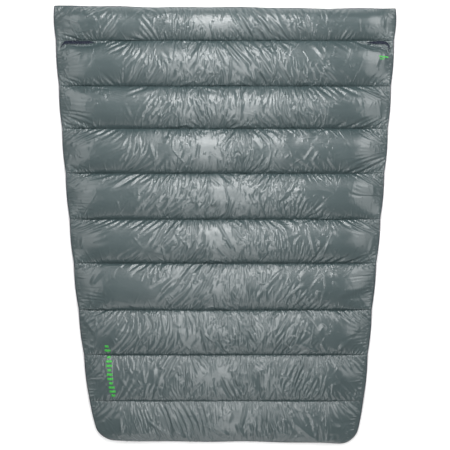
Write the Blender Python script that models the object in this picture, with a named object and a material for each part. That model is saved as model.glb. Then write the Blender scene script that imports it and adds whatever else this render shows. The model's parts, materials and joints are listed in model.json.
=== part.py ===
"""Two-person camp quilt: ten sewn-through down channels that fold at the nine seams between them.

Metres, +Z up. The quilt lies flat on its lining. +Y runs to the head edge, X across the quilt, and
the origin is on the ground under the middle. Each channel is a shell panel, a lining panel and the
down between them. Seam N runs along X between channels N and N + 1, and channels are counted from
the head. The foot channel stays down, and each channel hinges on the seam at its foot side.
"""

import math

import bmesh
import bpy

# Outline of the quilt laid flat.
LENGTH = 1.950
HEAD_WIDTH = 1.524
FOOT_SEAM_WIDTH = 1.216  # width at the last seam, above the foot channel
FOOT_WIDTH = 1.130  # width that the sides taper to before the corners round off
FOOT_CORNER = 0.080  # radius of the two foot corners
SIDE_BOW = 0.012  # how far each side bows out from a straight taper, halfway along

# Length along Y of each channel from seam to seam, from the head to the foot.
CHANNEL_LENGTHS = (0.152, 0.203, 0.189, 0.200, 0.205, 0.196, 0.209, 0.200, 0.206, 0.190)
# How far the shell of each channel stands above the seams.
SHELL_RISE = (0.036, 0.042, 0.042, 0.042, 0.042, 0.042, 0.041, 0.039, 0.036, 0.031)

SEAM_HEIGHT = 0.018  # height of the stitched seams over the ground
SIDE_SLOPE = 0.100  # width of the strip along each side where the down thins out
LINING_FLAT = 1.0 / 3.0  # share of each channel's length that its lining lies flat on the ground
SHELL_FULLNESS = 2.2  # exponent of the shell's section: 2 is a parabola, more is fuller
LINING_FULLNESS = 1.6

CLOTH = 0.0005  # thickness of the shell and of the lining
CLOTH_GAP = 0.0003  # clear space between shell and lining where they are sewn
DOWN_GAP = 0.0010  # clear space round the down
DOWN_INSET = 0.40  # share of the outermost strip of cloth that the down stops short of
DOWN_EDGE = 0.0001  # half the least thickness of the down, at its corners
SEAM_GAP = 0.0012  # clear space between a channel and the fold axis of its seam
THREAD_RADIUS = 0.0004  # half the thickness of a stitched seam
THREAD_INSET = 0.004  # distance from the end of a seam's stitching to the quilt's side
THREAD_SIDES = 8

ROWS = 6  # strips along each channel from seam to seam
FOOT_CORNER_ROWS = 3
SIDE_STEPS = (0.0, 0.13, 0.42, 1.0)  # places of the columns across the side slope
RIM_TILT = 0.1  # facets that tilt less than this from upright belong to a panel's rim

FOOT_Y = -LENGTH / 2.0
HEAD_Y = LENGTH / 2.0


def seam_y(count):
    """Y of the seam below the first `count` channels. 0 is the head edge."""
    return HEAD_Y - sum(CHANNEL_LENGTHS[:count])


def half_width(y):
    """Half the quilt's width at y."""
    last_seam = seam_y(9)
    if y >= last_seam:
        share = (HEAD_Y - y) / (HEAD_Y - last_seam)
        straight = HEAD_WIDTH + (FOOT_SEAM_WIDTH - HEAD_WIDTH) * share
        return straight / 2.0 + SIDE_BOW * math.sin(math.pi * share)
    share = (last_seam - y) / (last_seam - FOOT_Y)
    half = (FOOT_SEAM_WIDTH + (FOOT_WIDTH - FOOT_SEAM_WIDTH) * share) / 2.0
    into_corner = max(0.0, FOOT_CORNER - (y - FOOT_Y))
    return half - FOOT_CORNER + math.sqrt(FOOT_CORNER**2 - into_corner**2)


def row_places(channel):
    """Y of each row of points of a channel, from its foot side to its head side."""
    low = seam_y(channel)
    high = seam_y(channel - 1)
    if channel < 10:
        return [low + (high - low) * row / ROWS for row in range(ROWS + 1)]
    corner = [
        low + FOOT_CORNER * (1.0 - math.cos(math.pi / 2.0 * row / FOOT_CORNER_ROWS))
        for row in range(FOOT_CORNER_ROWS)
    ]
    above = low + FOOT_CORNER
    rows = ROWS - FOOT_CORNER_ROWS + 1
    return corner + [above + (high - above) * row / rows for row in range(rows + 1)]


def column_places(y):
    """X of each column of points at y, from the left side to the right."""
    half = half_width(y)
    right = [half - SIDE_SLOPE * step for step in SIDE_STEPS]
    return [-x for x in right] + [0.0] + right[::-1]


def across(x, y):
    """0 at the quilt's side, rising round to 1 where the down has its full height."""
    inside = min(1.0, max(0.0, half_width(y) - abs(x)) / SIDE_SLOPE)
    return math.sqrt(1.0 - (1.0 - inside) ** 2)


def along(y, channel):
    """-1 at the foot side of a channel, 0 halfway and 1 at its head side."""
    low = seam_y(channel)
    high = seam_y(channel - 1)
    return 2.0 * (y - low) / (high - low) - 1.0


def shell_height(x, y, channel):
    """Height of the shell's outer face over the seam, before the cloth's own thickness."""
    section = 1.0 - abs(along(y, channel)) ** SHELL_FULLNESS
    return SHELL_RISE[channel - 1] * section * across(x, y)


def lining_height(x, y, channel):
    """Height of the lining's outer face over the seam, before the cloth's own thickness: 0 or less."""
    off_middle = max(0.0, abs(along(y, channel)) - LINING_FLAT) / (1.0 - LINING_FLAT)
    section = 1.0 - off_middle**LINING_FULLNESS
    full_depth = SEAM_HEIGHT - CLOTH - CLOTH_GAP / 2.0
    return -full_depth * section * across(x, y)


def surface(height, channel):
    """Rows of (x, y, z) over a channel, which stop short of the fold axes of its seams."""
    rows = []
    for y in row_places(channel):
        rows.append([(x, y, height(x, y, channel)) for x in column_places(y)])
    if channel < 10:
        rows[0] = [(x, y + SEAM_GAP, z) for x, y, z in rows[0]]
    if channel > 1:
        rows[-1] = [(x, y - SEAM_GAP, z) for x, y, z in rows[-1]]
    return rows


def drawn_in(rows, share):
    """The same rows with the outermost points moved along the facets towards the next ones."""
    rows = [list(row) for row in rows]
    for row, inner in ((0, 1), (-1, -2)):
        rows[row] = [mix_points(a, b, share) for a, b in zip(rows[row], rows[inner])]
    for row in rows:
        row[0] = mix_points(row[0], row[1], share)
        row[-1] = mix_points(row[-1], row[-2], share)
    return rows


def mix_points(start, end, share):
    """The point that lies `share` of the way from start to end."""
    return tuple(a + (b - a) * share for a, b in zip(start, end))


def raised(rows, lift):
    """The same rows moved up."""
    return [[(x, y, z + lift) for x, y, z in row] for row in rows]


def closed_panel(name, lower, upper, origin, material):
    """A closed solid between two sheets of points, with its origin at `origin`."""
    row_count = len(lower)
    column_count = len(lower[0])
    panel = bmesh.new()
    bmesh.ops.create_grid(panel, x_segments=column_count - 1, y_segments=row_count - 1, size=1.0)
    lower_side = sorted(panel.verts, key=lambda vert: (round(vert.co.y, 5), vert.co.x))
    places = [(round(vert.co.x, 5), round(vert.co.y, 5)) for vert in lower_side]
    made = bmesh.ops.extrude_face_region(panel, geom=panel.faces[:], use_keep_orig=True)
    copies = [item for item in made["geom"] if isinstance(item, bmesh.types.BMVert)]
    copy_at = {(round(vert.co.x, 5), round(vert.co.y, 5)): vert for vert in copies}
    upper_side = [copy_at[place] for place in places]
    for index in range(row_count * column_count):
        row, column = divmod(index, column_count)
        for vert, sheet in ((lower_side[index], lower), (upper_side[index], upper)):
            x, y, z = sheet[row][column]
            vert.co = (x - origin[0], y - origin[1], z - origin[2])
    bmesh.ops.recalc_face_normals(panel, faces=panel.faces[:])
    split_outwards(panel)
    mesh = bpy.data.meshes.new(name)
    panel.to_mesh(mesh)
    panel.free()
    mesh.materials.append(material)
    mesh.shade_smooth()
    mesh.set_sharp_from_angle(angle=math.radians(40.0))
    return add_object(name, mesh)


def split_outwards(panel):
    """Split each four-sided facet of the two sheets so that its diagonal bulges away from the seam."""
    sheet_facets = [face for face in panel.faces if abs(face.normal.z) > RIM_TILT]
    for facet in sheet_facets:
        a, b, c, d = facet.verts
        if abs(a.co.z + c.co.z) >= abs(b.co.z + d.co.z):
            bmesh.utils.face_split(facet, a, c)
        else:
            bmesh.utils.face_split(facet, b, d)


def add_object(name, data):
    """A new object in the scene."""
    made = bpy.data.objects.new(name, data)
    bpy.context.scene.collection.objects.link(made)
    return made


def make_material(name, color, roughness, metallic=0.0):
    """A Principled material."""
    made = bpy.data.materials.new(name)
    made.use_nodes = True
    shader = made.node_tree.nodes["Principled BSDF"]
    shader.inputs["Base Color"].default_value = (*color, 1.0)
    shader.inputs["Roughness"].default_value = roughness
    shader.inputs["Metallic"].default_value = metallic
    return made


def panel_sheets(channel):
    """The four cloth surfaces of a channel, from the bottom up, and the two of its down."""
    half_gap = CLOTH_GAP / 2.0
    lining_outside = raised(surface(lining_height, channel), SEAM_HEIGHT - half_gap - CLOTH)
    lining_inside = raised(lining_outside, CLOTH)
    shell_inside = raised(surface(shell_height, channel), SEAM_HEIGHT + half_gap)
    shell_outside = raised(shell_inside, CLOTH)
    down_bottom = [
        [(x, y, min(z + DOWN_GAP, SEAM_HEIGHT - DOWN_EDGE)) for x, y, z in row]
        for row in drawn_in(lining_inside, DOWN_INSET)
    ]
    down_top = [
        [(x, y, max(z - DOWN_GAP, SEAM_HEIGHT + DOWN_EDGE)) for x, y, z in row]
        for row in drawn_in(shell_inside, DOWN_INSET)
    ]
    return lining_outside, lining_inside, shell_inside, shell_outside, down_bottom, down_top


def make_channel(channel, materials, hinge):
    """The shell, lining and down of one channel, hung on the empty at its fold axis."""
    origin = fold_place(channel)
    sheets = panel_sheets(channel)
    lining_outside, lining_inside, shell_inside, shell_outside, down_bottom, down_top = sheets
    made = [
        closed_panel(f"lining_{channel}", lining_outside, lining_inside, origin, materials["lining"]),
        closed_panel(f"shell_{channel}", shell_inside, shell_outside, origin, materials["shell"]),
        closed_panel(f"down_fill_{channel}", down_bottom, down_top, origin, materials["down"]),
    ]
    for piece in made:
        piece.parent = hinge


def fold_place(channel):
    """The middle of the fold axis at the foot side of a channel."""
    return (0.0, seam_y(channel), SEAM_HEIGHT)


def make_hinge(channel, parent):
    """The empty on a channel's fold axis. It hangs on the empty of the channel below it."""
    hinge = add_object(f"fold_axis_{channel}", None)
    hinge.empty_display_size = 0.05
    place = fold_place(channel)
    if parent is None:
        hinge.location = place
        return hinge
    hinge.parent = parent
    below = fold_place(channel + 1)
    hinge.location = tuple(a - b for a, b in zip(place, below))
    return hinge


def make_seam(number, material, hinge):
    """The row of quilting stitches between two channels, a thin rod along the fold axis."""
    length = 2.0 * (half_width(seam_y(number)) - THREAD_INSET)
    rod = bmesh.new()
    bmesh.ops.create_cone(
        rod,
        cap_ends=True,
        segments=THREAD_SIDES,
        radius1=THREAD_RADIUS,
        radius2=THREAD_RADIUS,
        depth=length,
    )
    mesh = bpy.data.meshes.new(f"quilting_seam_{number}")
    rod.to_mesh(mesh)
    rod.free()
    mesh.materials.append(material)
    mesh.shade_smooth()
    mesh.set_sharp_from_angle(angle=math.radians(60.0))
    seam = add_object(f"quilting_seam_{number}", mesh)
    seam.rotation_euler = (0.0, math.pi / 2.0, 0.0)
    seam.parent = hinge


def clear_scene():
    for old in list(bpy.data.objects):
        bpy.data.objects.remove(old, do_unlink=True)


def build():
    clear_scene()
    materials = {
        "shell": make_material("shell_ripstop", (0.115, 0.150, 0.155), 0.38),
        "lining": make_material("lining_taffeta", (0.030, 0.038, 0.060), 0.48),
        "down": make_material("down", (0.82, 0.80, 0.75), 0.95),
        "thread": make_material("thread", (0.055, 0.070, 0.075), 0.60),
    }
    hinge = None
    for channel in range(10, 0, -1):
        hinge = make_hinge(channel, hinge)
        make_channel(channel, materials, hinge)
        if channel < 10:
            make_seam(channel, materials["thread"], hinge)


build()
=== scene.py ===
import json
import math

import bpy
import numpy as np
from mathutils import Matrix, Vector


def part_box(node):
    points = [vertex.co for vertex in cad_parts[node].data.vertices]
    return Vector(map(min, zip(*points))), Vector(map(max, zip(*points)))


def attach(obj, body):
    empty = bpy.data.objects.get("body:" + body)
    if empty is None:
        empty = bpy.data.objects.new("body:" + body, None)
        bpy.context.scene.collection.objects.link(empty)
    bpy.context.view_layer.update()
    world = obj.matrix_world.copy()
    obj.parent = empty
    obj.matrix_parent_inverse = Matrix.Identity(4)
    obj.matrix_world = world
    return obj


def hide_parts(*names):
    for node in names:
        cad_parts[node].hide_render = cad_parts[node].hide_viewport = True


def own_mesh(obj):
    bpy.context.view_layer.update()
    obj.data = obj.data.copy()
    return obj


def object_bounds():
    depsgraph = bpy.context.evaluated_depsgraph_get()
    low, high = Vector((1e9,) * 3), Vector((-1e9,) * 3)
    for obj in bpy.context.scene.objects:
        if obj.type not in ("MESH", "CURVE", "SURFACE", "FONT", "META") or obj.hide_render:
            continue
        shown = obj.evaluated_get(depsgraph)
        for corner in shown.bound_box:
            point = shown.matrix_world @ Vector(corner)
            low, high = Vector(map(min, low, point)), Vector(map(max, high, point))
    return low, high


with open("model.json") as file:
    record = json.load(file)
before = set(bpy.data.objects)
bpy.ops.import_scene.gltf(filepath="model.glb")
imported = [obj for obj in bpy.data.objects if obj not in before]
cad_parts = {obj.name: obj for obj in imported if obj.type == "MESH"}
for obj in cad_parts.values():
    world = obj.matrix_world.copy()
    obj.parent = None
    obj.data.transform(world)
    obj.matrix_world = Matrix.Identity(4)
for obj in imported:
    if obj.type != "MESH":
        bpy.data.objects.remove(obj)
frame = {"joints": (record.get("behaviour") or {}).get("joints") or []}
CAD_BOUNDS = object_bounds()

# The quilt's layout, read from the frame. Channels are counted from the head, and rows of points
# run from the foot edge to the head edge.
CHANNELS = 10
JOINTS = {joint["name"]: joint["pos_m"] for joint in frame["joints"]}
SEAM_Z = JOINTS["seam_fold_1"][2]
FOOT_Y, HEAD_Y = CAD_BOUNDS[0].y, CAD_BOUNDS[1].y
EDGE_Y = [HEAD_Y] + [JOINTS[f"seam_fold_{n}"][1] for n in range(1, CHANNELS)] + [FOOT_Y]
SEAM_END_INSET = 0.004  # distance from the end of a seam's stitching to the quilt's side
FOOT_HALF_WIDTH = 0.565  # half width that the sides taper to before the foot corners round off
FOOT_CORNER = 0.062  # radius of the two foot corners
SIDE_BULGE = 0.006  # how far each channel's side swells out between its seams
EDGE_DROOP = 0.007  # how far the quilt's edge hangs below the seams, halfway along a channel

# Cloth.
CELL = 0.0046  # size of the shell's cells while it settles; the finished shell has half of that
LINING_CELL = 0.007
SIDE_SLOPE = 0.125  # strip along the sides where the down thins out
SPARE = 0.0155  # share of spare cloth across the quilt, which gathers along the seams
SKEW = 0.10  # how far the cloth is sewn out of true, which slants its wrinkles
LOFT_SHARES = (1.0, 1.0, 1.0, 1.0, 1.0, 1.0, 0.97, 0.86, 0.72, 0.66)  # the foot end is filled less
SEAM_WANDER = 0.002  # how far the creases over the seams stray from the stitching
STEPS = 190  # steps that each cloth settles for
KEPT_SPEED = 0.92  # share of its speed that the settling cloth keeps from step to step
PRESSURE = 2e-6  # what the down adds to the cloth's movement in each step
SEED = 11

# The shell's crisp creases: their size, and how many of that size each channel has.
CREASES = ((1.0, 260), (2.4, 45))
FOOT_CREASES = ((1.0, 190), (2.4, 60), (3.8, 22))  # the foot end is slacker, so more of them are long

# Stitches.
STITCH_PITCH = 0.0042
STITCH_LENGTH = 0.0032
STITCH_RADIUS = 0.00035
STITCH_LIFT = 0.0007  # how far a stitch's middle stands off the seam
STITCH_DIP = 0.0004  # how much nearer to the seam its two ends are

# The green marks: a column of bars near the left side of the foot end.
BARS = 13
FIRST_BAR = (-0.524, -0.536)
BAR_PITCH = 0.0182
BAR_DRIFT = 0.029  # how far to the right of the first bar the last one is
BAR_HEIGHT = 0.0095

FLOOR_HALF_SIZE = 12.0
FLOOR_Z = -0.0006
FRAME_WIDTH = 2.008  # metres of floor across the picture


# The dark openings below the two ends of the first seam: x, y from the seam, and half the width.
SLITS = (
    (
        (-0.582, -0.008, 0.0015),
        (-0.610, -0.009, 0.0087),
        (-0.650, -0.008, 0.0101),
        (-0.690, -0.006, 0.0094),
        (-0.712, -0.008, 0.0072),
        (-0.724, -0.018, 0.0049),
        (-0.732, -0.031, 0.0015),
    ),
    (
        (0.632, -0.010, 0.0015),
        (0.660, -0.010, 0.0070),
        (0.700, -0.009, 0.0080),
        (0.720, -0.011, 0.0065),
        (0.730, -0.022, 0.0049),
        (0.733, -0.036, 0.0043),
        (0.731, -0.047, 0.0015),
    ),
)


def half_width_table():
    """Y and half width at the edges of the channels above the foot one, from foot to head."""
    places = [(EDGE_Y[n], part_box(f"quilting_seam_{n}")[1].x + SEAM_END_INSET) for n in range(9, 0, -1)]
    places.append((HEAD_Y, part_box("shell_1")[1].x))
    return np.array(places)


WIDTHS = half_width_table()


def half_width(y):
    """Half the width of the quilt's flat outline at each y."""
    y = np.asarray(y, float)
    above = np.interp(y, WIDTHS[:, 0], WIDTHS[:, 1])
    last_y, last_half = WIDTHS[0]
    share = np.clip((last_y - y) / (last_y - FOOT_Y), 0.0, 1.0)
    into_corner = np.clip(FOOT_CORNER - (y - FOOT_Y), 0.0, FOOT_CORNER)
    corner = FOOT_CORNER - np.sqrt(FOOT_CORNER**2 - into_corner**2)
    foot = last_half + (FOOT_HALF_WIDTH - last_half) * share - corner
    return np.where(y >= last_y, above, foot)


def sideways(y):
    """How far the quilt was laid out of line at each y: its foot end is a little to the right."""
    return 0.008 * np.clip((-0.3 - np.asarray(y, float)) / 0.6, 0.0, 1.0)


def head_edge(x):
    """Y of the head edge, which lies slightly askew and wavy."""
    return HEAD_Y - 0.003 - 0.008 * x + 0.0016 * np.sin(9.0 * x + 1.0) + 0.0012 * np.sin(24.0 * x)


def foot_edge(x):
    """Y of the foot edge, a little nearer the head at its left end."""
    return FOOT_Y + 0.008 - 0.013 * x + 0.0022 * np.sin(7.0 * x + 0.5) + 0.0014 * np.sin(19.0 * x)


def smooth_noise(rng, x, y, cell_x, cell_y):
    """Seeded noise from -1 to 1 that changes over the given distances."""
    across = (x - x.min()) / cell_x
    along = (y - y.min()) / cell_y
    grid = rng.uniform(-1.0, 1.0, (int(along.max()) + 3, int(across.max()) + 3))
    column, row = across.astype(int), along.astype(int)
    u, v = across - column, along - row
    u = u * u * (3.0 - 2.0 * u)
    v = v * v * (3.0 - 2.0 * v)
    near = grid[row, column] * (1.0 - u) + grid[row, column + 1] * u
    far = grid[row + 1, column] * (1.0 - u) + grid[row + 1, column + 1] * u
    return near * (1.0 - v) + far * v


class Sheet:
    """One cloth laid over the whole quilt: a grid of points with the channels' seams as fixed rows."""

    def __init__(self, rise, cell, rng, split=1):
        self.first_row = {}
        places, shares, channels, stretch = [], [], [], []
        for channel in range(CHANNELS, 0, -1):
            low, high = EDGE_Y[channel], EDGE_Y[channel - 1]
            arc = 1.0 + 8.0 / 3.0 * (rise[channel - 1] / (high - low)) ** 2
            count = split * int(round((high - low) * arc / cell))
            self.first_row[channel] = len(places)
            for row in range(count):
                share = row / count
                if channel == CHANNELS:
                    share = 0.55 * share + 0.45 * share**2
                places.append(low + (high - low) * share)
                shares.append(share)
                channels.append(channel)
                stretch.append(arc)
        self.first_row[0] = len(places)
        places.append(HEAD_Y)
        shares.append(1.0)
        channels.append(1)
        stretch.append(stretch[-1])
        self.columns = split * int(round(2.0 * WIDTHS[-1, 1] / cell)) + 1
        y = np.array(places)
        share = np.array(shares)
        side = np.linspace(-1.0, 1.0, self.columns)
        self.share = np.repeat(share[:, None], self.columns, 1)
        self.channel = np.repeat(np.array(channels)[:, None], self.columns, 1)
        half = half_width(y) + SIDE_BULGE * np.sin(np.pi * share) * (share < 1.0)
        flat_x = side[None] * half[:, None]
        self.inside = half[:, None] - np.abs(flat_x)
        self.x = flat_x + sideways(y)[:, None]
        self.y = np.repeat(y[:, None], self.columns, 1)
        head, foot = self.channel == 1, self.channel == CHANNELS
        self.y += np.where(head, self.share * (head_edge(flat_x) - HEAD_Y), 0.0)
        self.y += np.where(foot, (1.0 - self.share) * (foot_edge(flat_x) - FOOT_Y), 0.0)
        strip = SIDE_SLOPE * (1.0 + 0.25 * smooth_noise(rng, self.x, self.y, 0.4, 0.05))
        rise_share = np.clip(self.inside / strip, 0.0, 1.0)
        self.slope = 0.5 * rise_share + 0.5 * np.sin(0.5 * np.pi * rise_share)
        self.fixed = np.zeros_like(self.x, bool)
        self.fixed[list(self.first_row.values())] = True
        self.fixed[:, [0, -1]] = True
        self.base = self.base_height()
        self.length = np.array(EDGE_Y)[self.channel - 1] - np.array(EDGE_Y)[self.channel]
        self.measure_cloth(np.array(stretch), rng)

    def base_height(self):
        """Height of the surface through all the seams and the quilt's edges."""
        droop = np.sin(np.pi * self.share) * (1.0 - np.clip(self.inside / SIDE_SLOPE, 0.0, 1.0))
        head = np.clip(1.0 - (HEAD_Y - self.y) / 0.05, 0.0, 1.0)
        foot = np.clip(1.0 - (self.y - FOOT_Y) / 0.05, 0.0, 1.0)
        return SEAM_Z - EDGE_DROOP * np.clip(droop + head + foot, 0.0, 1.0)

    def measure_cloth(self, stretch, rng):
        """The lengths of the cloth's threads and diagonals. It is longer and wider than the laid quilt."""
        uneven = smooth_noise(rng, self.x, self.channel * 1.0, 0.11, 0.9)
        spare = SPARE * calm(self.x, self.channel) * (1.0 + 0.85 * uneven)
        spare *= np.where(self.channel >= 8, 1.5, 1.0)
        spare += 0.008 * np.exp(-((self.inside / 0.05) ** 2))
        loft = (stretch[:, None] - 1.0) * (0.06 + 0.94 * self.slope**2)
        loft += 0.012 * (1.0 + smooth_noise(rng, self.x, self.y, 0.06, 0.04))
        lean = np.diff(self.x, axis=0)
        threads = np.hypot(lean, np.diff(self.y, axis=0))
        self.across_rest = np.diff(self.x, axis=1) * (1.0 + spare[:, 1:])
        self.along_rest = threads * (1.0 + loft[:-1])
        wide = 0.5 * (self.across_rest[1:] + self.across_rest[:-1])
        long = 0.5 * (self.along_rest[:, 1:] + self.along_rest[:, :-1])
        skew = 0.5 * (lean / threads)[:, 1:] + 0.5 * (lean / threads)[:, :-1]
        skew += SKEW * smooth_noise(rng, self.x, self.y, 0.13, 0.09)[1:, 1:]
        skew = np.clip(skew, -0.9, 0.9)
        self.up_rest = np.sqrt(wide**2 + long**2 + 2.0 * wide * long * skew)
        self.down_rest = np.sqrt(wide**2 + long**2 - 2.0 * wide * long * skew)


def calm(x, channel):
    """Share of the wrinkles left at each x: the cloth lies smoother left of the middle and at the right."""
    left = np.exp(-(((x + 0.44) / 0.15) ** 4))
    right = np.exp(-(((x - 0.56) / 0.09) ** 4))
    return 1.0 - (0.72 * left + 0.55 * right) * np.where(channel <= 7, 1.0, 0.4)


class Pairs:
    """Pairs of points that the cloth keeps at their rest distance. No point is in two of the pairs."""

    def __init__(self, first, second, rest, free, strength):
        self.first = (slice(None), *first)
        self.second = (slice(None), *second)
        total = np.maximum(free[first] + free[second], 1.0)
        self.rest = rest.astype(np.float32)
        self.first_share = (strength * free[first] / total).astype(np.float32)
        self.second_share = (strength * free[second] / total).astype(np.float32)

    def pull(self, points):
        """Moves each pair towards its rest distance."""
        first, second = points[self.first], points[self.second]
        gap = second - first
        length = np.sqrt(gap[0] ** 2 + gap[1] ** 2 + gap[2] ** 2) + np.float32(1e-9)
        error = (length - self.rest) / length
        first += gap * (error * self.first_share)
        second -= gap * (error * self.second_share)


def cloth_pairs(sheet, free):
    """The cloth's threads across and along, and its weaker diagonals, in groups that don't share points."""
    rows, columns = free.shape
    every, left, right = slice(None), slice(0, -1), slice(1, None)
    groups = []
    for start in (0, 1):
        column, next_column = slice(start, columns - 1, 2), slice(start + 1, columns, 2)
        row, next_row = slice(start, rows - 1, 2), slice(start + 1, rows, 2)
        across, along = sheet.across_rest[:, column], sheet.along_rest[row]
        groups.append(Pairs((every, column), (every, next_column), across, free, 1.0))
        groups.append(Pairs((row, every), (next_row, every), along, free, 1.0))
        groups.append(Pairs((row, left), (next_row, right), sheet.up_rest[row], free, 0.35))
        groups.append(Pairs((row, right), (next_row, left), sheet.down_rest[row], free, 0.35))
    return groups


def cloth_normals(points):
    """The cloth's upward normal at each of its inner points."""
    across = points[:, 1:-1, 2:] - points[:, 1:-1, :-2]
    along = points[:, 2:, 1:-1] - points[:, :-2, 1:-1]
    normal = np.stack(
        [
            across[1] * along[2] - across[2] * along[1],
            across[2] * along[0] - across[0] * along[2],
            across[0] * along[1] - across[1] * along[0],
        ]
    )
    return normal / (np.sqrt((normal**2).sum(0)) + np.float32(1e-12))


def seam_wander(sheet, rng):
    """How far the crease over each seam strays along y, for the low and the high side of each point."""
    stray = np.zeros((CHANNELS + 1, sheet.columns))
    line = np.linspace(0.0, 1.5, sheet.columns)
    for seam in range(1, CHANNELS):
        stray[seam] = SEAM_WANDER * smooth_noise(rng, line, line * 0.0, 0.035, 1.0)
    columns = np.arange(sheet.columns)[None]
    return stray[sheet.channel, columns], stray[sheet.channel - 1, columns]


def simulate(sheet, height, rng, pressure, lowest, highest):
    """Lets the cloth settle from the starting height: it keeps its size, and the down presses on it."""
    low_stray, high_stray = seam_wander(sheet, rng)
    above = np.clip(np.abs(height - sheet.base) / 0.012, 0.0, 1.0) * ~sheet.fixed
    low_near = np.exp(-((sheet.share * sheet.length / 0.018) ** 2))
    high_near = np.exp(-(((1.0 - sheet.share) * sheet.length / 0.018) ** 2))
    start_y = sheet.y + above * (low_stray * low_near + high_stray * high_near)
    points = np.stack([sheet.x, start_y, height]).astype(np.float32)
    free = (~sheet.fixed).astype(float)
    groups = cloth_pairs(sheet, free)
    moving = free.astype(np.float32)
    push = np.float32(pressure) * moving[1:-1, 1:-1]
    edges = np.array(EDGE_Y)
    low_y = np.minimum(edges[sheet.channel], sheet.y).astype(np.float32)
    high_y = np.maximum(edges[sheet.channel - 1], sheet.y).astype(np.float32)
    low_stray, high_stray = low_stray.astype(np.float32), high_stray.astype(np.float32)
    base = sheet.base.astype(np.float32)
    before = points.copy()
    for _ in range(STEPS):
        drift = (points - before) * (np.float32(KEPT_SPEED) * moving)
        before = points.copy()
        points += drift
        points[:, 1:-1, 1:-1] += cloth_normals(points) * push
        for group in groups:
            group.pull(points)
        above = np.clip(np.abs(points[2] - base) * np.float32(80.0), 0.0, 1.0)
        np.clip(points[1], low_y + low_stray * above, high_y + high_stray * above, out=points[1])
        np.clip(points[2], lowest, highest, out=points[2])
    return points


def doubled(field, axis):
    """A field with twice as many points along an axis, on a smooth curve between them."""
    field = np.moveaxis(field, axis, -1)
    made = np.zeros((*field.shape[:-1], 2 * field.shape[-1] - 1), np.float32)
    made[..., ::2] = field
    made[..., 1::2] = 0.5 * (field[..., 1:] + field[..., :-1])
    made[..., 1:-1] = 0.25 * (made[..., :-2] + made[..., 2:]) + 0.5 * made[..., 1:-1]
    return np.moveaxis(made, -1, axis)


def refine(coarse, points, fine):
    """Carries the settled cloth over to a sheet with cells half the size."""
    moved = doubled(doubled(points - np.stack([coarse.x, coarse.y, coarse.base]), 1), 2)
    moved[:, fine.fixed] = 0.0
    return (moved + np.stack([fine.x, fine.y, fine.base])).astype(np.float32)


def add_crease(made, sheet, start, slant, run, wide, tall):
    """Adds a sharp-crested ridge that runs out of a seam, or starts anywhere in a channel."""
    channel, x, y, ahead = start
    rows = slice(sheet.first_row[channel] + 1, sheet.first_row[channel - 1])
    half = float(half_width(y))
    middle = (sheet.columns - 1) * 0.5 * (1.0 + x / half)
    cell = 2.0 * half / (sheet.columns - 1)
    reach = int((run * abs(math.sin(slant)) + 4.0 * wide) / cell) + 2
    columns = slice(max(0, int(middle) - reach), min(sheet.columns, int(middle) + reach))
    dx = sheet.x[rows, columns] - x
    dy = (sheet.y[rows, columns] - y) * ahead
    along = dx * math.sin(slant) + dy * math.cos(slant)
    beside = np.abs(dx * math.cos(slant) - dy * math.sin(slant))
    share = np.clip(along / run, 0.0, 1.0)
    crest = share**0.5 * (1.0 - share) * 2.6
    made[rows, columns] += tall * crest * np.exp(-beside / (wide * (0.5 + share)))


def crease_starts(sheet, rng, gather, fold):
    """Where the settling cloth starts to wrinkle: short gathers along the seams and longer folds."""
    made = np.zeros_like(sheet.x)
    drift = np.linspace(-0.8, 0.8, 200)
    for channel in range(1, CHANNELS + 1):
        for ahead, y in ((1.0, EDGE_Y[channel]), (-1.0, EDGE_Y[channel - 1])):
            half = float(half_width(y))
            lean = smooth_noise(rng, drift, drift * 0.0, 0.10, 1.0)
            x = -half + 0.01
            while x < half - 0.01:
                slant = 0.5 * float(np.interp(x, drift, lean)) + rng.normal(0.0, 0.45)
                run = 0.012 + rng.exponential(0.022)
                tall = gather * rng.uniform(0.4, 1.0) * (1.0 if rng.random() < 0.65 else -1.0)
                tall *= float(calm(x, channel))
                add_crease(made, sheet, (channel, x, y, ahead), slant, run, rng.uniform(0.004, 0.008), tall)
                x += rng.uniform(0.009, 0.020)
        low, high = EDGE_Y[channel], EDGE_Y[channel - 1]
        for size, count in ((1.0, 90), (2.4, 22)):
            for _ in range(count):
                y = rng.uniform(low, high)
                x = rng.uniform(-0.95, 0.95) * float(half_width(y))
                slant = rng.normal(0.0, 0.6)
                tall = fold * size**0.6 * rng.uniform(0.4, 1.0) * (1.0 if rng.random() < 0.6 else -1.0)
                run = size * (0.02 + rng.exponential(0.03))
                ahead = 1.0 if rng.random() < 0.5 else -1.0
                wide = size**0.6 * rng.uniform(0.004, 0.008)
                tall *= float(calm(x, channel))
                add_crease(made, sheet, (channel, x, y, ahead), slant, run, wide, tall)
    return made


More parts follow.
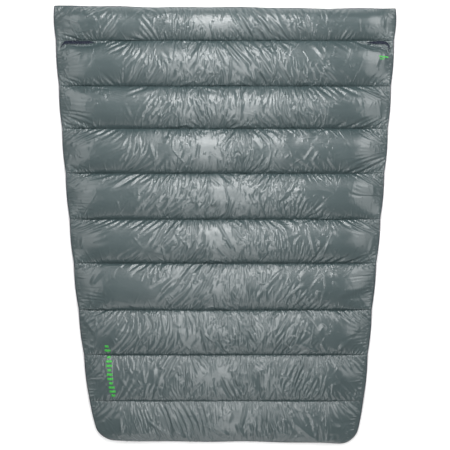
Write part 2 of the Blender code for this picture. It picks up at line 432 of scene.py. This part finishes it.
def add_facet(made, sheet, start, slant, run, wide, tall):
    """Lays a low, sharp-crested tent over the cloth. Where tents overlap, the higher one shows."""
    channel, x, y, ahead = start
    low, high = sheet.first_row[channel] + 1, sheet.first_row[channel - 1]
    half = float(half_width(y))
    cell = 2.0 * half / (sheet.columns - 1)
    middle = (sheet.columns - 1) * 0.5 * (1.0 + (x + 0.5 * run * math.sin(slant)) / half)
    reach = int((0.5 * run * abs(math.sin(slant)) + 1.2 * wide) / cell) + 2
    columns = slice(max(0, int(middle) - reach), min(sheet.columns, int(middle) + reach))
    line = sheet.y[low:high, 0]
    end = y + ahead * run
    first = np.searchsorted(line, min(y, end) - wide)
    last = np.searchsorted(line, max(y, end) + wide)
    rows = slice(low + int(first), low + int(last))
    dx = sheet.x[rows, columns] - x
    dy = (sheet.y[rows, columns] - y) * ahead
    along = (dx * math.sin(slant) + dy * math.cos(slant)) / run
    beside = np.abs(dx * math.cos(slant) - dy * math.sin(slant))
    crest = np.clip(np.minimum(along / 0.14, (1.0 - along) / 0.86), 0.0, 1.0)
    tent = tall * crest * np.clip(1.0 - beside / (wide * (0.55 + 0.6 * np.clip(along, 0.0, 1.0))), 0.0, 1.0)
    made[rows, columns] = np.maximum(made[rows, columns], tent)


def facets(sheet, rng, gather, fold):
    """Height of the crisp little creases of thin nylon: tufts along the seams, and open creases."""
    made = np.zeros_like(sheet.x)
    drift = np.linspace(-0.8, 0.8, 200)
    for channel in range(1, CHANNELS + 1):
        low, high = EDGE_Y[channel], EDGE_Y[channel - 1]
        for ahead, y in ((1.0, low), (-1.0, high)):
            half = float(half_width(y))
            lean = smooth_noise(rng, drift, drift * 0.0, 0.07, 1.0)
            x = -half + 0.01
            while x < half - 0.01:
                slant = 0.8 * float(np.interp(x, drift, lean)) + rng.normal(0.0, 0.3)
                run = 0.014 + rng.exponential(0.022)
                tall = gather * rng.uniform(0.4, 1.1) * float(calm(x, channel))
                add_facet(made, sheet, (channel, x, y, ahead), slant, run, rng.uniform(0.0035, 0.007), tall)
                x += rng.uniform(0.0035, 0.009)
        for side in (-1.0, 1.0):
            y = low + 0.004
            while y < high - 0.004:
                x = side * (float(half_width(y)) - 0.003)
                slant = -side * (0.5 * math.pi + rng.normal(0.0, 0.35))
                run = 0.012 + rng.exponential(0.015)
                tall = gather * rng.uniform(0.3, 0.8)
                add_facet(made, sheet, (channel, x, y, 1.0), slant, run, rng.uniform(0.004, 0.008), tall)
                y += rng.uniform(0.006, 0.016)
        for size, count in CREASES if channel < 7 else FOOT_CREASES:
            for _ in range(count):
                y = rng.uniform(low + 0.01, high - 0.01)
                x = rng.uniform(-0.96, 0.96) * float(half_width(y))
                slant = rng.normal(0.0, 0.75)
                run = size * (0.012 + rng.exponential(0.018))
                tall = fold * size**0.9 * rng.uniform(0.3, 1.0) * float(calm(x, channel))
                ahead = 1.0 if rng.random() < 0.5 else -1.0
                wide = size * rng.uniform(0.004, 0.009)
                add_facet(made, sheet, (channel, x, y, ahead), slant, run, wide, tall)
    return made


def shell_points():
    """The shell, blown up by the down and puckered along its seams."""
    rng = np.random.default_rng(SEED)
    rise = [(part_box(f"shell_{n}")[1].z - SEAM_Z) * LOFT_SHARES[n - 1] for n in range(1, CHANNELS + 1)]
    sheet = Sheet(rise, CELL, rng)
    crown = np.array(rise)[sheet.channel - 1] * (1.0 - np.abs(2.0 * sheet.share - 1.0) ** 2.0)
    height = sheet.base + crown * sheet.slope * 0.95
    height += crease_starts(sheet, rng, 0.0022, 0.0026)
    height[sheet.fixed] = sheet.base[sheet.fixed]
    lowest = (sheet.base + 0.0002 * ~sheet.fixed).astype(np.float32)
    highest = np.full_like(lowest, CAD_BOUNDS[1].z + 0.006)
    for path in SLITS:
        away = distance_to_path(sheet, path)
        sunk = sheet.base + 0.0015 + np.clip(away - 0.007, 0.0, None) * 1.6
        highest = np.minimum(highest, np.where(sheet.channel == 2, sunk, 1.0)).astype(np.float32)
    settled = simulate(sheet, height, rng, PRESSURE, lowest, highest)
    coarse, sheet = sheet, Sheet(rise, CELL, rng, 2)
    points = refine(coarse, settled, sheet)
    tall = facets(sheet, rng, 0.0038, 0.0019) * ~sheet.fixed
    points[:, 1:-1, 1:-1] += cloth_normals(points) * tall[1:-1, 1:-1].astype(np.float32)
    return sheet, points


def lining_points():
    """The lining, which the down presses flat on the ground between the seams."""
    rng = np.random.default_rng(SEED + 1)
    rise = [SEAM_Z * 1.05] * CHANNELS
    sheet = Sheet(rise, LINING_CELL, rng)
    belly = SEAM_Z * (1.0 - np.abs(2.0 * sheet.share - 1.0) ** 2.4)
    height = sheet.base - belly * sheet.slope
    height += crease_starts(sheet, rng, 0.001, 0.001)
    height[sheet.fixed] = sheet.base[sheet.fixed]
    highest = (sheet.base - 0.0002 * ~sheet.fixed).astype(np.float32)
    lowest = np.zeros_like(highest)
    return sheet, simulate(sheet, np.clip(height, 0.0, None), rng, -PRESSURE, lowest, highest)


def distance_to_path(sheet, path):
    """Distance of each point of the flat cloth from a path below seam 1."""
    nearest = np.full_like(sheet.x, 1.0)
    for start, end in zip(path[:-1], path[1:]):
        ax, ay = start[0], start[1] + EDGE_Y[1]
        bx, by = end[0] - start[0], end[1] - start[1]
        along = np.clip(((sheet.x - ax) * bx + (sheet.y - ay) * by) / (bx * bx + by * by), 0.0, 1.0)
        nearest = np.minimum(nearest, np.hypot(sheet.x - ax - along * bx, sheet.y - ay - along * by))
    return nearest


class Surface:
    """Finds places on the settled shell from places on the flat quilt."""

    def __init__(self, sheet, points):
        self.sheet = sheet
        self.points = points
        self.normals = np.zeros_like(points)
        self.normals[2] = 1.0
        self.normals[:, 1:-1, 1:-1] = cloth_normals(points)

    def at(self, x, y, lift):
        """Points lifted off the cloth over each flat x and y."""
        sheet = self.sheet
        rows, columns = sheet.x.shape
        row = np.interp(y, sheet.y[:, columns // 2], np.arange(rows))
        low = np.minimum(row.astype(int), rows - 2)
        left = sheet.x[low, 0] + (row - low) * (sheet.x[low + 1, 0] - sheet.x[low, 0])
        right = sheet.x[low, -1] + (row - low) * (sheet.x[low + 1, -1] - sheet.x[low, -1])
        column = np.clip((x - left) / (right - left) * (columns - 1), 0.0, columns - 1.001)
        near = column.astype(int)
        u, v = column - near, row - low
        made = []
        for field in (self.points, self.normals):
            below = field[:, low, near] * (1.0 - u) + field[:, low, near + 1] * u
            above = field[:, low + 1, near] * (1.0 - u) + field[:, low + 1, near + 1] * u
            made.append(below * (1.0 - v) + above * v)
        return made[0] + made[1] * lift


def slab_mesh(name, patches):
    """Thin closed slabs. Each patch is its upper and its lower grid of points."""
    points, faces = [], []
    for upper, lower in patches:
        _, rows, columns = upper.shape
        start = len(points)
        count = rows * columns
        points.extend(upper.reshape(3, -1).T.tolist())
        points.extend(lower.reshape(3, -1).T.tolist())
        index = start + np.arange(count).reshape(rows, columns)
        top = np.stack([index[:-1, :-1], index[:-1, 1:], index[1:, 1:], index[1:, :-1]], -1).reshape(-1, 4)
        faces.extend(top.tolist())
        faces.extend((top[:, ::-1] + count).tolist())
        rim = np.concatenate([index[0], index[1:, -1], index[-1, -2::-1], index[-2:0:-1, 0]])
        after = np.roll(rim, -1)
        faces.extend(np.stack([rim, rim + count, after + count, after], -1).tolist())
    mesh = bpy.data.meshes.new(name)
    mesh.from_pydata(points, [], faces)
    mesh.shade_smooth()
    return mesh


def grid_mesh(name, points, upwards, extra):
    """A mesh of a grid of points, with `extra` kept on each point as a named attribute."""
    _, rows, columns = points.shape
    index = np.arange(rows * columns).reshape(rows, columns)
    corners = [index[:-1, :-1], index[:-1, 1:], index[1:, 1:], index[1:, :-1]]
    if not upwards:
        corners.reverse()
    quads = np.stack(corners, -1).reshape(-1, 4)
    mesh = bpy.data.meshes.new(name)
    mesh.vertices.add(rows * columns)
    mesh.vertices.foreach_set("co", points.transpose(1, 2, 0).astype(np.float32).ravel())
    mesh.loops.add(quads.size)
    mesh.loops.foreach_set("vertex_index", quads.astype(np.int32).ravel())
    mesh.polygons.add(len(quads))
    mesh.polygons.foreach_set("loop_start", np.arange(0, quads.size, 4, dtype=np.int32))
    mesh.update(calc_edges=True)
    for key, values in extra.items():
        attribute = mesh.attributes.new(key, "FLOAT_VECTOR", "POINT")
        attribute.data.foreach_set("vector", values.transpose(1, 2, 0).astype(np.float32).ravel())
    mesh.shade_smooth()
    return mesh


def add_piece(name, mesh, material, body, slot, replaced=()):
    """A piece of the object: it rides on a body and stands for the CAD nodes it replaces."""
    piece = bpy.data.objects.new(name, mesh)
    bpy.context.scene.collection.objects.link(piece)
    mesh.materials.append(material)
    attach(piece, body)
    if replaced:
        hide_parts(*replaced)
    number = int(body.split("_")[1])
    if number < CHANNELS and slot != "thread":
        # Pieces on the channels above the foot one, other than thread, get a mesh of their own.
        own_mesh(piece)
    return piece


def cut_channels(sheet, points, name, upwards, material, slot, nodes):
    """One piece for each channel, cut out of the whole cloth along its seams."""
    cloth = np.stack([sheet.x, sheet.y, np.zeros_like(sheet.x)])
    for channel in range(1, CHANNELS + 1):
        rows = slice(sheet.first_row[channel], sheet.first_row[channel - 1] + 1)
        mesh = grid_mesh(f"{name}_{channel}", points[:, rows], upwards, {"cloth": cloth[:, rows]})
        replaced = [f"{node}_{channel}" for node in nodes]
        piece = add_piece(f"{name}_{channel}", mesh, material, f"channel_{channel}", slot, replaced)


def tube_mesh(name, runs, wide, tall, sides=6):
    """Tubes with an oval section along runs of points that lie nearly flat, closed at their ends."""
    points, faces = [], []
    for run in runs:
        run = np.asarray(run, float)
        ahead = np.gradient(run, axis=0)
        ahead /= np.linalg.norm(ahead, axis=1)[:, None] + 1e-12
        beside = np.stack([-ahead[:, 1], ahead[:, 0], np.zeros(len(run))], 1)
        beside /= np.linalg.norm(beside, axis=1)[:, None] + 1e-12
        start = len(points)
        for place, out in zip(run, beside):
            for side in range(sides):
                turn = 2.0 * math.pi * side / sides
                around = out * (wide * math.cos(turn))
                points.append(place + around + np.array([0.0, 0.0, tall * math.sin(turn)]))
        for ring in range(len(run) - 1):
            for side in range(sides):
                a = start + ring * sides + side
                b = start + ring * sides + (side + 1) % sides
                faces.append((a, b, b + sides, a + sides))
        faces.append(tuple(start + side for side in reversed(range(sides))))
        last = start + (len(run) - 1) * sides
        faces.append(tuple(last + side for side in range(sides)))
    mesh = bpy.data.meshes.new(name)
    mesh.from_pydata([tuple(point) for point in points], [], faces)
    mesh.shade_smooth()
    return mesh


def edge_runs(sheet, points, channel):
    """The points along the quilt's edge in one channel."""
    rows = slice(sheet.first_row[channel], sheet.first_row[channel - 1] + 1)
    left = points[:, rows, 0].T
    right = points[:, rows, -1].T
    if channel == 1:
        head = points[:, sheet.first_row[0]].T
        return [np.concatenate([left[:-1], head, right[::-1][1:]])]
    if channel == CHANNELS:
        foot = points[:, 0].T
        return [np.concatenate([left[::-1][:-1], foot, right[1:]])]
    return [left, right]


def make_edges(sheet, points, material):
    """A thin tube of the dark lining cloth along the quilt's edge in each channel, where the shell and the
    lining are sewn together: it draws a dark line around the outline.
    """
    for channel in range(1, CHANNELS + 1):
        mesh = tube_mesh(f"turned_edge_{channel}", edge_runs(sheet, points, channel), 0.0016, 0.0011)
        add_piece(f"turned_edge_{channel}", mesh, material, f"channel_{channel}", "lining_fabric")


def make_stitches(material):
    """The rows of quilting stitches, short lengths of thread along each seam on both faces."""
    for seam in range(1, CHANNELS):
        low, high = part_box(f"quilting_seam_{seam}")
        y = EDGE_Y[seam]
        count = int((high.x - low.x) / STITCH_PITCH)
        runs = []
        for number in range(count):
            start = low.x + float(sideways(y)) + number * STITCH_PITCH
            middle, end = start + 0.5 * STITCH_LENGTH, start + STITCH_LENGTH
            for face in (1.0, -1.0):
                z = SEAM_Z + face * STITCH_LIFT
                end_z = z - face * STITCH_DIP
                runs.append([(start, y, end_z), (middle, y, z), (end, y, end_z)])
        mesh = tube_mesh(f"quilting_stitches_{seam}", runs, STITCH_RADIUS, STITCH_RADIUS, 4)
        replaced = [f"quilting_seam_{seam}"]
        add_piece(f"quilting_stitches_{seam}", mesh, material, f"channel_{seam}", "thread", replaced)


def smooth_path(path, count):
    """A path with its widths, rounded off and split evenly."""
    path = np.array(path)
    steps = np.hypot(np.diff(path[:, 0]), np.diff(path[:, 1]))
    length = np.concatenate([[0.0], np.cumsum(steps)])
    places = np.linspace(0.0, length[-1], count)
    made = np.stack([np.interp(places, length, path[:, n]) for n in range(path.shape[1])], 1)
    for _ in range(6):
        made[1:-1] = 0.5 * made[1:-1] + 0.25 * (made[:-2] + made[2:])
    return made


def make_slits(surface, lining_and_shade_material, shell_material):
    """Dark strips with rolled lips, laid on the uncut shell where the quilt has its two openings. The strips
    show the lining's navy and painted shade of the hollow under each lip.
    """
    for side, path in zip(("left", "right"), SLITS):
        run = smooth_path(path, 60)
        x, y, wide = run[:, 0], run[:, 1] + EDGE_Y[1], run[:, 2]
        ahead = np.gradient(run[:, :2], axis=0)
        ahead /= np.linalg.norm(ahead, axis=1)[:, None]
        across = np.linspace(-1.0, 1.0, 7)[:, None]
        flat_x = x - across * wide * ahead[:, 1]
        flat_y = y + across * wide * ahead[:, 0]
        order = slice(None) if ahead[10, 0] > 0.0 else slice(None, None, -1)
        upper = surface.at(flat_x, flat_y, 0.0010)[:, order]
        lower = surface.at(flat_x, flat_y, 0.0002)[:, order]
        # Painted shade: a thin dark slab on the uncut shell stands for the lining seen in the shaded hollow
        # of each opening.
        mesh = slab_mesh(f"opening_lining_and_shade_{side}", [(upper, lower)])
        piece = add_piece(f"opening_lining_and_shade_{side}", mesh, lining_and_shade_material, "channel_2", "lining_fabric")
        lips = []
        for edge in (-1.0, 1.0):
            lips.append(surface.at(x - edge * wide * ahead[:, 1], y + edge * wide * ahead[:, 0], 0.0012).T)
        mesh = tube_mesh(f"opening_lip_{side}", lips, 0.0016, 0.0014)
        add_piece(f"opening_lip_{side}", mesh, shell_material, "channel_2", "shell_fabric")


def mark_patch(surface, x, y, wide, tall, slant):
    """A small slanted bar printed on the cloth, as a thin slab."""
    columns, rows = max(3, int(wide / 0.0015) + 1), max(3, int(tall / 0.0015) + 1)
    u, v = np.meshgrid(np.linspace(-0.5, 0.5, columns), np.linspace(-0.5, 0.5, rows))
    flat_x = x + u * wide + v * tall * slant
    flat_y = y + v * tall
    return surface.at(flat_x, flat_y, 0.0007), surface.at(flat_x, flat_y, -0.0002)


def make_marks(surface, material):
    """Plain green marks: a column of bars near the left side of the foot end, and a small one at the head."""
    bars = {8: [], 9: []}
    for number in range(BARS):
        y = FIRST_BAR[1] - BAR_PITCH * number
        channel = 8 if y > EDGE_Y[8] else 9
        if abs(y - EDGE_Y[8]) < 0.008:
            continue
        x = FIRST_BAR[0] + BAR_DRIFT * number / (BARS - 1.0)
        wide = 0.026 if number % 3 else 0.016
        bars[channel].append(mark_patch(surface, x, y, wide, BAR_HEIGHT, 0.0))
    small = [mark_patch(surface, 0.702, 0.746, 0.046, 0.0055, 0.4)]
    small.append(mark_patch(surface, 0.692, 0.736, 0.022, 0.0040, 0.4))
    for channel, patches in (*bars.items(), (2, small)):
        mesh = slab_mesh(f"printed_mark_{channel}", patches)
        add_piece(f"printed_mark_{channel}", mesh, material, f"channel_{channel}", "printed_mark")


def new_material(name):
    """A material with its nodes, its links and its shader."""
    made = bpy.data.materials.new(name)
    made.use_nodes = True
    return made, made.node_tree.nodes, made.node_tree.links, made.node_tree.nodes["Principled BSDF"]


def cloth_material(name, dark, light, roughness, specular):
    """Thin calendered nylon: a soft gloss with a slight crinkle."""
    material, nodes, links, shader = new_material(name)
    place = nodes.new("ShaderNodeAttribute")
    place.attribute_name = "cloth"
    mottle = nodes.new("ShaderNodeTexNoise")
    mottle.inputs["Scale"].default_value = 9.0
    mottle.inputs["Detail"].default_value = 3.0
    links.new(place.outputs["Vector"], mottle.inputs["Vector"])
    tint = nodes.new("ShaderNodeMix")
    tint.data_type = "RGBA"
    tint.inputs["A"].default_value = (*dark, 1.0)
    tint.inputs["B"].default_value = (*light, 1.0)
    links.new(mottle.outputs["Fac"], tint.inputs["Factor"])
    links.new(tint.outputs["Result"], shader.inputs["Base Color"])
    crinkle = nodes.new("ShaderNodeTexNoise")
    crinkle.inputs["Scale"].default_value = 70.0
    crinkle.inputs["Detail"].default_value = 2.0
    crinkle.inputs["Roughness"].default_value = 0.4
    links.new(place.outputs["Vector"], crinkle.inputs["Vector"])
    gloss = nodes.new("ShaderNodeMapRange")
    gloss.inputs["To Min"].default_value = roughness - 0.05
    gloss.inputs["To Max"].default_value = roughness + 0.05
    links.new(mottle.outputs["Fac"], gloss.inputs["Value"])
    links.new(gloss.outputs["Result"], shader.inputs["Roughness"])
    bump = nodes.new("ShaderNodeBump")
    bump.inputs["Strength"].default_value = 0.20
    bump.inputs["Distance"].default_value = 0.0016
    links.new(crinkle.outputs["Fac"], bump.inputs["Height"])
    links.new(bump.outputs["Normal"], shader.inputs["Normal"])
    shader.inputs["Specular IOR Level"].default_value = specular
    return material


def print_material():
    """Green ink printed on the cloth."""
    material, nodes, links, shader = new_material("green_print")
    wear = nodes.new("ShaderNodeTexNoise")
    wear.inputs["Scale"].default_value = 400.0
    tone = nodes.new("ShaderNodeMix")
    tone.data_type = "RGBA"
    tone.inputs["A"].default_value = (0.030, 0.30, 0.035, 1.0)
    tone.inputs["B"].default_value = (0.045, 0.42, 0.050, 1.0)
    links.new(wear.outputs["Fac"], tone.inputs["Factor"])
    links.new(tone.outputs["Result"], shader.inputs["Base Color"])
    shader.inputs["Roughness"].default_value = 0.45
    return material


def thread_material():
    """Dark polyester thread."""
    material, nodes, links, shader = new_material("quilting_thread")
    twist = nodes.new("ShaderNodeTexNoise")
    twist.inputs["Scale"].default_value = 900.0
    tone = nodes.new("ShaderNodeMix")
    tone.data_type = "RGBA"
    tone.inputs["A"].default_value = (0.020, 0.027, 0.030, 1.0)
    tone.inputs["B"].default_value = (0.045, 0.058, 0.062, 1.0)
    links.new(twist.outputs["Fac"], tone.inputs["Factor"])
    links.new(tone.outputs["Result"], shader.inputs["Base Color"])
    shader.inputs["Roughness"].default_value = 0.6
    return material


def add_area_light(name, place, towards, size, strength, shape="RECTANGLE"):
    """A studio light that the camera doesn't see."""
    light = bpy.data.lights.new(name, "AREA")
    light.shape = shape
    light.size, light.size_y = size
    light.energy = strength
    lamp = bpy.data.objects.new(name, light)
    lamp.location = place
    aim = Vector(towards) - Vector(place)
    lamp.rotation_euler = aim.to_track_quat("-Z", "Y").to_euler()
    lamp.visible_camera = False
    bpy.context.scene.collection.objects.link(lamp)


def make_stage():
    """A pale floor, soft studio light and a camera straight above the quilt."""
    mesh = bpy.data.meshes.new("floor")
    corners = ((-1.0, -1.0), (1.0, -1.0), (1.0, 1.0), (-1.0, 1.0))
    points = [(x * FLOOR_HALF_SIZE, y * FLOOR_HALF_SIZE, FLOOR_Z) for x, y in corners]
    mesh.from_pydata(points, [], [(0, 1, 2, 3)])
    floor = bpy.data.objects.new("floor", mesh)
    bpy.context.scene.collection.objects.link(floor)
    material, _, _, shader = new_material("pale_floor")
    shader.inputs["Base Color"].default_value = (0.95, 0.95, 0.95, 1.0)
    shader.inputs["Roughness"].default_value = 0.9
    mesh.materials.append(material)
    world = bpy.data.worlds.new("studio")
    world.use_nodes = True
    world.node_tree.nodes["Background"].inputs["Color"].default_value = (1.0, 1.0, 1.0, 1.0)
    world.node_tree.nodes["Background"].inputs["Strength"].default_value = 0.355
    bpy.context.scene.world = world
    add_area_light("strip_head", (-0.03, 2.35, 1.6), (-0.03, 2.35, 0.0), (0.36, 2.7), 37.0)
    add_area_light("strip_middle", (-0.03, 0.2, 1.6), (-0.03, 0.2, 0.0), (0.36, 1.6), 13.0)
    add_area_light("strip_foot", (-0.03, -1.8, 1.6), (-0.03, -1.8, 0.0), (0.36, 2.4), 11.5)
    add_area_light("head_panel", (-0.05, 3.4, 2.2), (-0.05, 0.0, 0.0), (0.8, 3.0), 17.5)
    add_area_light("foot_wall", (0.0, -4.6, 1.3), (0.0, 0.0, 0.0), (3.4, 1.6), 26.0)
    add_area_light("left_bank", (-2.3, 0.1, 2.2), (-0.4, 0.1, 0.0), (2.4, 1.9), 17.4, "ELLIPSE")
    add_area_light("left_head_bank", (-2.3, 2.3, 2.2), (-0.4, 1.5, 0.0), (2.4, 1.9), 26.5, "ELLIPSE")
    add_area_light("right_bank", (2.3, 0.1, 2.2), (0.4, 0.1, 0.0), (2.4, 1.9), 22.1, "ELLIPSE")
    add_area_light("right_head_bank", (2.3, 2.3, 2.2), (0.4, 1.5, 0.0), (2.4, 1.9), 49.6, "ELLIPSE")
    bpy.context.scene.view_settings.view_transform = "Standard"
    make_camera()


def make_camera():
    """A camera straight above the middle of the quilt."""
    camera = bpy.data.cameras.new("camera")
    camera.lens = 70.0
    distance = FRAME_WIDTH / 2.0 * camera.lens / (camera.sensor_width / 2.0)
    eye = bpy.data.objects.new("camera", camera)
    eye.location = (0.0, 0.0, distance + SEAM_Z)
    bpy.context.scene.collection.objects.link(eye)
    bpy.context.scene.camera = eye


make_stage()
shell_cloth = cloth_material("shell_ripstop", (0.033, 0.053, 0.056), (0.044, 0.067, 0.070), 0.30, 0.92)
# The lining's navy is darker than the cloth's own colour: it also paints the shade inside the two openings.
lining_cloth = cloth_material("lining_taffeta", (0.006, 0.009, 0.019), (0.010, 0.014, 0.028), 0.60, 0.20)
thread = thread_material()
shell_sheet, shell = shell_points()
cut_channels(shell_sheet, shell, "shell_cloth", True, shell_cloth, "shell_fabric", ["shell", "down_fill"])
lining_sheet, lining = lining_points()
cut_channels(lining_sheet, lining, "lining_cloth", False, lining_cloth, "lining_fabric", ["lining"])
make_edges(shell_sheet, shell, lining_cloth)
make_stitches(thread)
surface = Surface(shell_sheet, shell)
make_slits(surface, lining_cloth, shell_cloth)
make_marks(surface, print_material())
